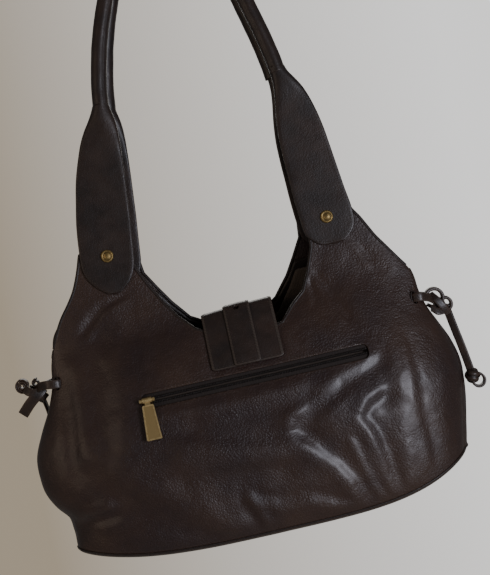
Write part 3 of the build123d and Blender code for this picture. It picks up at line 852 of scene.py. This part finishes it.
brass = antique_brass("antiqued_brass", "E8CE94", "A88C5A", 0.4)
dark_brass = antique_brass("blackened_brass", "5C4C33", "2A231A", 0.5)
cap_brass = antique_brass("worn_brass_plate", "B59A62", "4A3B26", 0.42)
for node in ("zip_puller", "buckle_frame", "buckle_prong"):
    finish_node(node, brass)
finish_node("zip_slider", dark_brass, brass, split=-0.0592)
bm = bmesh.new()
for way in (1, -1):
    x = np.linspace(zip_from + 4, zip_to - 4, 120)
    line = near_face(x, np.full(120, ZIP_Z + way * (ZIP_WINDOW / 2 + 2.6)), 0.35)
    join_in(bm, stitches(line, np.tile((0, -1, 0.2), (120, 1)), pitch=3.0, long=2.0, wide=0.5))
zip_thread = as_object("zip_stitching", bm, brown_thread)
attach(zip_thread, "bag")


# --- handles ----------------------------------------------------------------------------------
# Each handle is cut from one strip: a flat stitched tab rivetted over the ear at both ends,
# narrowing to a neck from which the strip is rolled round a cord and sewn along its inner side.
LEAN = math.radians(2.48)
MID_OUT = -1.1  # the middle of the leather, out from the handle's own plane
# Left and right tab: height above the fold, inner and outer edge from the bag's middle.
LEFT_TAB = (
    (3, -103, -103), (4.4, -107.5, -98.5), (7.5, -112.5, -93.5), (12, -118, -88), (17, -122, -84.2),
    (23, -125.6, -81.2), (31, -127.8, -79.2), (40, -128, -78), (53, -127, -76.5), (73, -124.5, -74),
    (93, -120.5, -72), (113, -116, -70), (133, -109.5, -68.3), (148, -103.5, -67.4), (158, -98, -67.4),
    (166, -92.5, -68.2), (173, -88.3, -69.5), (179, -85.4, -70.2),
)
RIGHT_TAB = (
    (3, 104, 104), (4, 97, 111), (6, 91.5, 116.5), (10, 86, 121.5), (15, 81.5, 125.5), (21, 79.6, 127.6),
    (29, 79, 128), (53, 77.5, 125.5), (73, 77, 123.5), (93, 76.5, 121.5), (113, 76.8, 119.3),
    (133, 79, 115.5), (146, 81.2, 111.8), (155, 82.4, 108.2), (163, 82.8, 103.6), (171, 82.4, 98.8),
    (177, 81.6, 96.8),
)
THICKEN = smooth(
    (0, 3.3), (118, 3.3), (134, 3.7), (147, 4.6), (157, 5.8), (166, 6.9), (173, 7.4), (180, 7.55),
)
SQUARE = smooth((0, 9), (110, 8), (134, 5), (150, 3.4), (164, 2.5), (174, 2.08), (180, 2))
GRIP = (
    (-78.5, 173), (-77.6, 179), (-75.5, 195), (-71.5, 213), (-66.5, 233), (-59.8, 253), (-46, 287),
    (-27, 322), (-8, 345), (6, 353), (22, 345), (42, 322), (60, 287), (73, 253), (78, 233), (82.7, 213),
    (86.6, 193), (89.0, 177), (89.6, 171),
)
GRIP_R = 7.5


def handle_place(way):
    """From the handle's own plane (across, up, out) to the bag's frame."""
    up = Vector((0, -way * math.sin(LEAN), math.cos(LEAN)))
    out = Vector((0, way * math.cos(LEAN), math.sin(LEAN)))
    turn = Matrix(((1, 0, 0), up, out)).transposed().to_4x4()
    return Matrix.Translation((0, way * 24, FOLD_Z)) @ turn


def rounded(turn, power):
    """A point of a superellipse of half width and half height 1."""
    c, s = np.cos(turn), np.sin(turn)
    return np.sign(c) * np.abs(c) ** (2 / power), np.sign(s) * np.abs(s) ** (2 / power)


def close_tube(bm):
    """Joins a rolled sheet's long edges and closes its ends."""
    bmesh.ops.remove_doubles(bm, verts=bm.verts, dist=2e-6)
    ends = [e for e in bm.edges if e.is_boundary]
    if ends:
        bmesh.ops.holes_fill(bm, edges=ends)
    bmesh.ops.recalc_face_normals(bm, faces=bm.faces)
    for face in bm.faces:
        face.smooth = True


def tab_outline(tab):
    """The left and right edge of a tab by height above the fold."""
    rows = np.array(tab, float)
    return smooth(*rows[:, [0, 1]]), smooth(*rows[:, [0, 2]])


def tab_mesh(tab, way, shift):
    """One tab with its stitching."""
    low, high = tab_outline(tab)
    bottom, top = tab[0][0], tab[-1][0]

    def surface(a, b):
        up = bottom + (top - bottom) * a**1.6
        mid, half = (low(up) + high(up)) / 2 + shift, (high(up) - low(up)) / 2
        across, out = rounded(2 * np.pi * b, SQUARE(up))
        thick = THICKEN(up) * (0.35 + 0.65 * ease(0, 2.5, up - bottom))
        waves = np.array([
            noise.noise(Vector((m / 21 + c, h / 26, way * 5.0))) for m, h, c in zip(mid, up, across)
        ])
        return np.stack([mid + half * across, up, MID_OUT + thick * out + 0.55 * waves * out], -1)

    bm = sheet_of(150, 64, surface)
    close_tube(bm)
    margin = 3.3
    up = np.linspace(152, bottom + margin + 9, 70)
    left = np.stack([low(up) + margin + shift, up], -1)
    right = np.stack([high(up) - margin + shift, up], -1)[::-1]
    turn = np.linspace(0, np.pi, 26)[1:-1]
    a, b = left[-1], right[0]
    bend = np.stack([
        (a[0] + b[0]) / 2 - (b[0] - a[0]) / 2 * np.cos(turn),
        a[1] - (a[1] - bottom - margin) * np.sin(turn),
    ], -1)
    flat = np.concatenate([left, bend, right])
    mid, half = (low(flat[:, 1]) + high(flat[:, 1])) / 2 + shift, (high(flat[:, 1]) - low(flat[:, 1])) / 2
    power = SQUARE(flat[:, 1])
    edge = np.clip(np.abs((flat[:, 0] - mid) / half), 0, 0.99)
    out = THICKEN(flat[:, 1]) * (1 - edge**power) ** (1 / power)
    line = np.stack([flat[:, 0], flat[:, 1], MID_OUT + out], -1)
    join_in(bm, stitches(line, np.tile((0, 0, 1), (len(line), 1)), pitch=3.2, long=2.2, wide=0.55), 1)
    bmesh.ops.transform(bm, matrix=scaled(handle_place(way)), verts=bm.verts)
    return bm


def scaled(place):
    """A placement in millimetres, for a mesh that is already in metres."""
    here = place.copy()
    here.translation = here.translation * MM
    return here


def grip_mesh(way, squeeze):
    """The rolled grip with its sewn seam on the inner side."""
    rows = np.array(GRIP, float)
    rows[:, 0] = rows[:, 0] - np.sign(rows[:, 0] - 6) * squeeze * (np.abs(rows[:, 0] - 6) / 85)
    run = np.concatenate([[0], np.cumsum(np.hypot(*np.diff(rows, axis=0).T))])
    x_at, up_at = smooth(*zip(run, rows[:, 0])), smooth(*zip(run, rows[:, 1]))
    seam_turn = math.radians(38)

    def centre(s):
        ahead, back = np.minimum(s + 1, run[-1]), np.maximum(s - 1, 0)
        tx, tu = x_at(ahead) - x_at(back), up_at(ahead) - up_at(back)
        size = np.hypot(tx, tu)
        return x_at(s), up_at(s), tu / size, -tx / size

    def surface(a, b):
        s = run[-1] * a
        x, up, nx, nu = centre(s)
        turn = 2 * np.pi * b
        seam = 0.55 * np.exp(-(((turn - seam_turn) / 0.16) ** 2))
        seam -= 0.35 * np.exp(-(((turn - seam_turn - 0.3) / 0.12) ** 2))
        waves = np.array([
            noise.noise(Vector((k / 15, math.cos(t) * 1.2, math.sin(t) * 1.2 + way))) for k, t in zip(s, turn)
        ])
        r = GRIP_R + seam + 0.28 * waves
        level = r * np.cos(turn)
        return np.stack([x + nx * level, up + nu * level, MID_OUT + r * np.sin(turn)], -1)

    bm = sheet_of(300, 28, surface)
    close_tube(bm)
    s = np.linspace(8, run[-1] - 8, 500)
    x, up, nx, nu = centre(s)
    reach = GRIP_R + 0.3
    turn = seam_turn + 0.34
    side = np.stack([nx * math.cos(turn), nu * math.cos(turn), np.full(500, math.sin(turn))], -1)
    line = np.stack([x, up, np.full(500, MID_OUT)], -1) + side * (reach - 0.4)
    join_in(bm, stitches(line, side, pitch=3.4, long=2.3, wide=0.6), 1)
    bmesh.ops.transform(bm, matrix=scaled(handle_place(way)), verts=bm.verts)
    return bm


tab_leather = leather(
    "smooth_strap_leather", "271E1B", "3A2B24", "42322A", grain_mm=1.4, roughness=0.46, coat=0.2,
    relief_mm=0.14, patch_mm=35,
)
RIVET_CAP = (
    (0, 2.5), (1.4, 2.42), (2.6, 2.1), (3.2, 1.75), (3.5, 1.45), (3.9, 1.42), (4.3, 1.75), (4.9, 1.8),
    (5.5, 1.45), (5.9, 0.7), (6.0, -0.1),
)


def rivet_mesh(x, up, way):
    """A cap rivet: a low dome in a beaded ring, and the flat head behind the backing."""
    bm = bmesh.new()
    verts = [bm.verts.new((r * MM, 0, h * MM)) for r, h in RIVET_CAP]
    edges = [bm.edges.new(pair) for pair in zip(verts, verts[1:])]
    bmesh.ops.spin(
        bm, geom=verts + edges, cent=(0, 0, 0), axis=(0, 0, 1), angle=2 * math.pi, steps=40, use_merge=True
    )
    bmesh.ops.remove_doubles(bm, verts=bm.verts, dist=1e-6)
    for vert in bm.verts:
        r, turn = vert.co.xy.length / MM, math.atan2(vert.co.y, vert.co.x)
        if 4.1 < r < 5.7:
            vert.co.z += 0.22 * MM * math.cos(20 * turn)
    bmesh.ops.translate(bm, vec=(x * MM, up * MM, 2.3 * MM), verts=bm.verts)
    back = bmesh.new()
    bmesh.ops.create_cone(
        back, cap_ends=True, segments=28, radius1=4.2 * MM, radius2=3.4 * MM, depth=1.1 * MM,
        matrix=Matrix.Translation((x * MM, up * MM, -5.0 * MM)) @ Matrix.Rotation(math.pi, 4, "X"),
    )
    join_in(bm, back)
    bmesh.ops.recalc_face_normals(bm, faces=bm.faces)
    for face in bm.faces:
        face.smooth = True
    bmesh.ops.transform(bm, matrix=scaled(handle_place(way)), verts=bm.verts)
    return bm


for way, name, squeeze in ((-1, "near", 0.0), (1, "far", 4.0)):
    for tab, side, spot in ((LEFT_TAB, "left", (-102.5, 39.5)), (RIGHT_TAB, "right", (103.2, 29.5))):
        shift = squeeze * (0.8 if side == "left" else -0.5)
        made = as_object(f"{name}_{side}_strap_tab", tab_mesh(tab, way, shift), tab_leather, brown_thread)
        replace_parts(made, f"{name}_{side}_tab", f"{name}_{side}_backing")
        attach(made, f"{name}_handle")
        cap = as_object(f"{name}_{side}_cap_rivet", rivet_mesh(spot[0] + shift, spot[1], way), cap_brass)
        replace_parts(cap, f"{name}_{side}_rivet")
        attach(cap, f"{name}_handle")
    roll = as_object(f"{name}_rolled_grip", grip_mesh(way, squeeze), tab_leather, brown_thread)
    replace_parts(roll, f"{name}_grip", f"{name}_grip_core")
    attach(roll, f"{name}_handle")


# --- closure over the mouth -------------------------------------------------------------------
# A wide tab sewn to the near panel folds over the mouth, with a narrow strap stitched along it
# that passes a keeper and a buckle on the far side, where a magnetic snap holds it down.
CAD_DEPTH = ((100, 68), (132, 63), (170, 50), (213, 30), (247, 24))
STAND_OFF, FLAP_FOLD = 4.6, 205
FLAP_BEND_Y = -0.0379


def flap_path(out, near_end, far_end):
    """The flap's line in (y, z) from its sewn end over the mouth to its far end."""
    level, deep = zip(*CAD_DEPTH)
    near_z = np.linspace(near_end, FLAP_FOLD - 1, 24)
    far_z = np.linspace(FLAP_FOLD - 1, far_end, 24)
    fold = float(np.interp(FLAP_FOLD, level, deep))
    rows = [(-np.interp(z, level, deep) - out, z) for z in near_z]
    rows += [(-fold - out + 6, FLAP_FOLD + 8 + out), (fold + STAND_OFF + out - 6, FLAP_FOLD + 8 + out)]
    rows += [(np.interp(z, level, deep) + STAND_OFF + out, z) for z in far_z]
    rows = np.array(rows, float)
    run = np.concatenate([[0], np.cumsum(np.hypot(*np.diff(rows, axis=0).T))])
    even = np.linspace(0, run[-1], 240)
    y, z = np.interp(even, run, rows[:, 0]), np.interp(even, run, rows[:, 1])
    reach = 9
    shape = np.hanning(2 * reach + 1)[1:-1]
    shape /= shape.sum()
    pad = len(shape) // 2
    soft = [
        np.convolve(np.pad(c, pad, mode="reflect", reflect_type="odd"), shape, mode="valid") for c in (y, z)
    ]
    return even / run[-1], *soft, run[-1]


def soften(bm, millimetres, sharp=0.9):
    """Rounds the cut edges of a strap."""
    bm.normal_update()
    edges = [e for e in bm.edges if e.is_manifold and e.calc_face_angle() > sharp]
    bmesh.ops.bevel(
        bm, geom=edges, offset=millimetres * MM, offset_type="OFFSET", segments=2, profile=0.5,
        affect="EDGES", material=-1,
    )
    for face in bm.faces:
        face.smooth = True


def flap_mesh(out, wide, near_end, far_end, thick, rounding, tilt, hole=0):
    """A strap along the flap's line with stitching near its edges."""
    share, y, z, long = flap_path(out + thick, near_end, far_end)

    def place(a, b, lift=0.0):
        from_end = np.minimum(a, 1 - a) * long
        corner = np.clip(1 - from_end / rounding, 0, 1)
        half = wide / 2 - rounding * (1 - np.sqrt(1 - corner**2))
        x = (2 * b - 1) * half
        at_y, at_z = np.interp(a, share, y), np.interp(a, share, z)
        ahead = np.interp(a + 0.004, share, y), np.interp(a + 0.004, share, z)
        back = np.interp(a - 0.004, share, y), np.interp(a - 0.004, share, z)
        dy, dz = ahead[0] - back[0], ahead[1] - back[1]
        size = np.hypot(dy, dz)
        bow = 0.5 * (1 - (2 * b - 1) ** 2) + lift
        rise = tilt * x * ease(188, 212, at_z)
        normal = np.stack([np.zeros_like(a), -dz / size, dy / size], -1)
        return np.stack([FLAP_X + x, at_y, at_z + rise], -1) + normal * bow[..., None], normal

    bm = sheet_of(130, 26 if wide > 40 else 12, lambda a, b: place(a, b)[0], flip=True)
    if hole:
        bend = np.argmax(z > hole)
        spot, facing = (v[0] for v in place(share[bend : bend + 1], np.array([0.5])))
        up = Vector(facing).cross(Vector((1, 0, 0)))
        cut_hole(bm, spot, (1, 0, 0), up, 2.3, 2.3, 2.2, 4)
    thicken(bm, thick)
    soften(bm, 0.45)
    margin = 2.6
    rows = [(np.linspace(margin, long - margin, 160) / long, np.full(160, s)) for s in (
        margin / wide, 1 - margin / wide
    )]
    across = np.linspace(margin / wide, 1 - margin / wide, 50)
    rows.append((np.full(50, margin / long), across))
    rows.append((np.full(50, 1 - margin / long), across))
    for a, b in rows:
        line, normal = place(a, b, 0.05)
        join_in(bm, stitches(line, normal, pitch=3.0, long=2.1, wide=0.5), 1)
    return bm


bm = flap_mesh(0.0, FLAP_WIDE, 162, 164, 2.0, 3.5, 0.045)
wide_tab = as_object("flap_tab", bm, tab_leather, brown_thread)
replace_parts(wide_tab, "closure_anchor", "closure_tab")
bm = flap_mesh(2.1, 25, 162.5, 166, 2.1, 2.5, 0.03, hole=213.5)
narrow = as_object("flap_strap", bm, tab_leather, brown_thread)
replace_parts(narrow, "strap_anchor", "closure_strap")
for made in (wide_tab, narrow):
    start, end = ((FLAP_X * MM, FLAP_BEND_Y, z) for z in (0.198, 0.211))
    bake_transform(made)


def ribbon(points, across, wide, thick, columns=None):
    """A leather lace along a dense line of points, its width in the directions given."""
    points, across = np.asarray(points, float), np.asarray(across, float)
    across = across / np.linalg.norm(across, axis=1, keepdims=True)
    run = np.linspace(0, 1, len(points))

    def surface(a, b):
        at = np.stack([np.interp(a, run, c) for c in points.T], -1)
        side = np.stack([np.interp(a, run, c) for c in across.T], -1)
        return at + side * ((b - 0.5) * wide)[:, None]

    bm = sheet_of(columns or 3 * len(points) // 2, 3, surface)
    thicken(bm, thick)
    soften(bm, thick * 0.3)
    return bm


keeper_z, keeper_out = 170.5, STAND_OFF + 2.0
slope = math.atan2(20, 43)
angle = np.linspace(0, 2 * np.pi, 49)
c, s = rounded(angle, 7)
loop_x, loop_out = 14.0 * c, 2.1 + 2.6 * s
deep = float(np.interp(keeper_z, *zip(*CAD_DEPTH)))
line = np.stack([
    FLAP_X + loop_x,
    deep + keeper_out + loop_out * math.cos(slope),
    keeper_z + loop_out * math.sin(slope),
], -1)
along_strap = np.tile((0, -math.sin(slope), math.cos(slope)), (49, 1))
keeper = as_object("strap_loop", ribbon(line, along_strap, 6, 1.2, 96), tab_leather)
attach(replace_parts(keeper, "strap_keeper"), "closure_flap")
steel = antique_brass("plated_snap_steel", "B7B3AA", "7C7870", 0.3)
for node in ("magnet_male", "magnet_female"):
    finish_node(node, steel)


# --- side ties --------------------------------------------------------------------------------
# A flat lace of the same leather runs through two slots on each side, is drawn up and knotted
# outside the strip. One end hangs down from each knot and ends in a small knot of its own.
lace_leather = leather(
    "folded_leather_lace", "241A17", "3A2B22", "5E4A3C", grain_mm=1.2, roughness=0.42, coat=0.25,
    relief_mm=0.1, patch_mm=18,
)
LACE_WIDE, LACE_THICK = 8.0, 2.3


def through(*points):
    """A dense smooth line through a few points."""
    rows = np.array(points, float)
    run = np.concatenate([[0], np.cumsum(np.linalg.norm(np.diff(rows, axis=0), axis=1))])
    even = np.linspace(0, run[-1], 60)
    return np.stack([smooth(*zip(run, column))(even) for column in rows.T], -1)


def ring(centre, radius, start, end, grow=0.0, lean=0.0):
    """A turn of lace seen end-on, its width running across the bag's depth."""
    turn = np.radians(np.linspace(start, end, 60))
    r = radius + grow * np.linspace(0, 1, 60)
    return np.stack([
        centre[0] + r * np.cos(turn), centre[1] + lean * np.linspace(0, 1, 60), centre[2] + r * np.sin(turn)
    ], -1)


def wound(centre, along, radius, turns, pitch):
    """Turns of lace wrapped round a line through a centre."""
    along = Vector(along).normalized()
    side = along.orthogonal().normalized()
    over = along.cross(side)
    turn = np.linspace(0, 2 * np.pi * turns, 40 * turns)
    shift = (turn / (2 * np.pi) - turns / 2) * pitch
    spots = [
        Vector(centre) + side * radius * math.cos(t) + over * radius * math.sin(t) + along * d
        for t, d in zip(turn, shift)
    ]
    return np.array([tuple(p) for p in spots]), np.tile(tuple(along), (len(spots), 1))


# Each knot piece is its line, the direction of its width, its width and its thickness. Each wrap
# is its centre, axis, radius, number of turns and pitch.
depth_way, level_way = (0, 1, 0.1), (0.05, 0.05, 1)
TIES = {
    "right": dict(
        laces=(
            through(
                (158, -23, 185.5), (164.5, -29, 185.5), (171, -29.5, 185), (178, -24, 183), (186, -12, 178),
            ),
            through((158, 23, 185.5), (164.5, 28.5, 185.5), (172, 27, 185), (180, 18, 183), (188, 5, 178)),
        ),
        knot=(
            (ring((184.5, -12, 181), 9.8, 175, -145, 0.4, 3.0), depth_way, 7.5, 3.3),
            (ring((193.5, -8, 173), 7.4, 140, -190, 0.6, 2.0), depth_way, 7.5, 3.0),
            (
                through((179, -17, 173), (184, -18, 168.5), (190, -16, 167.5), (196, -12, 169)),
                (0.2, 0.3, 1), 7.0, 2.3,
            ),
            (
                through((181, -13, 186), (186, -17, 179), (190, -17, 172), (195, -13, 163)),
                (1, 0.1, 0.35), 7.0, 2.3,
            ),
        ),
        wraps=(((188, -8, 172.5), (0.9, 0.1, -0.45), 5.4, 2, 5.8),),
        tail=((194, -7, 172), (197, -8, 150), (201, -7, 127), (204, -5, 104)),
        coil=(ring((208.5, -6, 96), 3.4, 100, 500, 2.2, 1.5), depth_way, 7.5, 2.4),
    ),
    "left": dict(
        laces=(
            through(
                (-167, -23, 182), (-173.5, -29, 182), (-181, -29.5, 183), (-188, -22, 183), (-196, -10, 180),
            ),
            through((-167, 23, 182), (-173.5, 28.5, 182), (-182, 27, 183), (-190, 16, 182), (-198, 2, 180)),
        ),
        knot=(
            (ring((-208.3, -9, 187), 0.5, -40, 1040, 5.6, 2.0), depth_way, 7.5, 1.5),
            (ring((-195.3, -9, 187), 2.0, 200, -290, 2.4, 1.0), depth_way, 7.5, 1.6),
            (
                through((-189, -15, 181), (-195, -17, 176), (-203, -16, 170), (-214, -10, 160)),
                (0.72, 0.1, -0.72), 10.0, 2.4,
            ),
            (
                through((-207, -13, 184), (-202, -17, 180), (-196, -17, 178), (-188, -12, 171)),
                (0.6, 0.1, 0.8), 8.0, 2.3,
            ),
        ),
        wraps=(((-197, -5, 176), (1, 0.1, -0.8), 5.4, 3, 4.6),),
        tail=((-195, 8, 172), (-193, 21, 155), (-198, 29, 132), (-200, 31, 110)),
        coil=(ring((-203, 31, 98), 2.0, 80, 440, 2.4, 1.0), depth_way, 6.0, 1.6),
    ),
}


def small_knot(centre, radius, along):
    """An overhand knot in a lace: a ball ridged by the turns of the lace."""
    bm = bmesh.new()
    bmesh.ops.create_icosphere(bm, subdivisions=4, radius=1)
    along = Vector(along).normalized()
    for vert in bm.verts:
        p = vert.co.normalized()
        turn = math.atan2(p.y, p.x)
        ridge = abs(math.sin(1.5 * turn + 3.2 * p.z + 0.6)) ** 0.5
        vert.co = p * (0.78 + 0.26 * ridge) * radius * MM
    turn = along.to_track_quat("Z", "Y").to_matrix().to_4x4()
    bmesh.ops.transform(bm, matrix=Matrix.Translation(Vector(centre) * MM) @ turn, verts=bm.verts)
    for face in bm.faces:
        face.smooth = True
    return bm


for side, tie in TIES.items():
    bm = bmesh.new()
    for line in tie["laces"]:
        join_in(bm, ribbon(line, np.tile(level_way, (len(line), 1)), LACE_WIDE, LACE_THICK))
    lace = as_object(f"{side}_tie_lace", bm, lace_leather)
    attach(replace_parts(lace, f"{side}_lace"), "bag")
    bm = bmesh.new()
    for line, width_way, wide, thick in tie["knot"]:
        join_in(bm, ribbon(line, np.tile(width_way, (len(line), 1)), wide, thick))
    for wrap in tie["wraps"]:
        join_in(bm, ribbon(*wound(*wrap), 6.4, 2.2))
    knot = as_object(f"{side}_tie_knot", bm, lace_leather)
    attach(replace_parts(knot, f"{side}_knot"), "bag")
    last, before = (Vector(tie["tail"][k]) for k in (-1, -2))
    way = (last - before).normalized()
    bm = small_knot(last + way * 2.5, 7.2, way)
    line, width_way, wide, thick = tie["coil"]
    join_in(bm, ribbon(line, np.tile(width_way, (len(line), 1)), wide, thick))
    end_knot = as_object(f"{side}_lace_end_knot", bm, lace_leather)
    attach(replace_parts(end_knot, f"{side}_end_knot"), "bag")
    line = bpy.data.curves.new(f"{side}_hanging_lace", "CURVE")
    line.dimensions = "3D"
    run = line.splines.new("NURBS")
    run.points.add(len(tie["tail"]) - 1)
    for spot, point in zip(run.points, tie["tail"]):
        spot.co = (*[c * MM for c in point], 1)
    run.order_u = 3
    run.use_endpoint_u = True
    line.extrude, line.bevel_depth, line.bevel_resolution = 2.5 * MM, 1.3 * MM, 3
    line.use_fill_caps = True
    line.materials.append(lace_leather)
    tail = bpy.data.objects.new(f"{side}_hanging_lace", line)
    bpy.context.collection.objects.link(tail)
    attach(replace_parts(tail, f"{side}_tie_tail"), "bag")
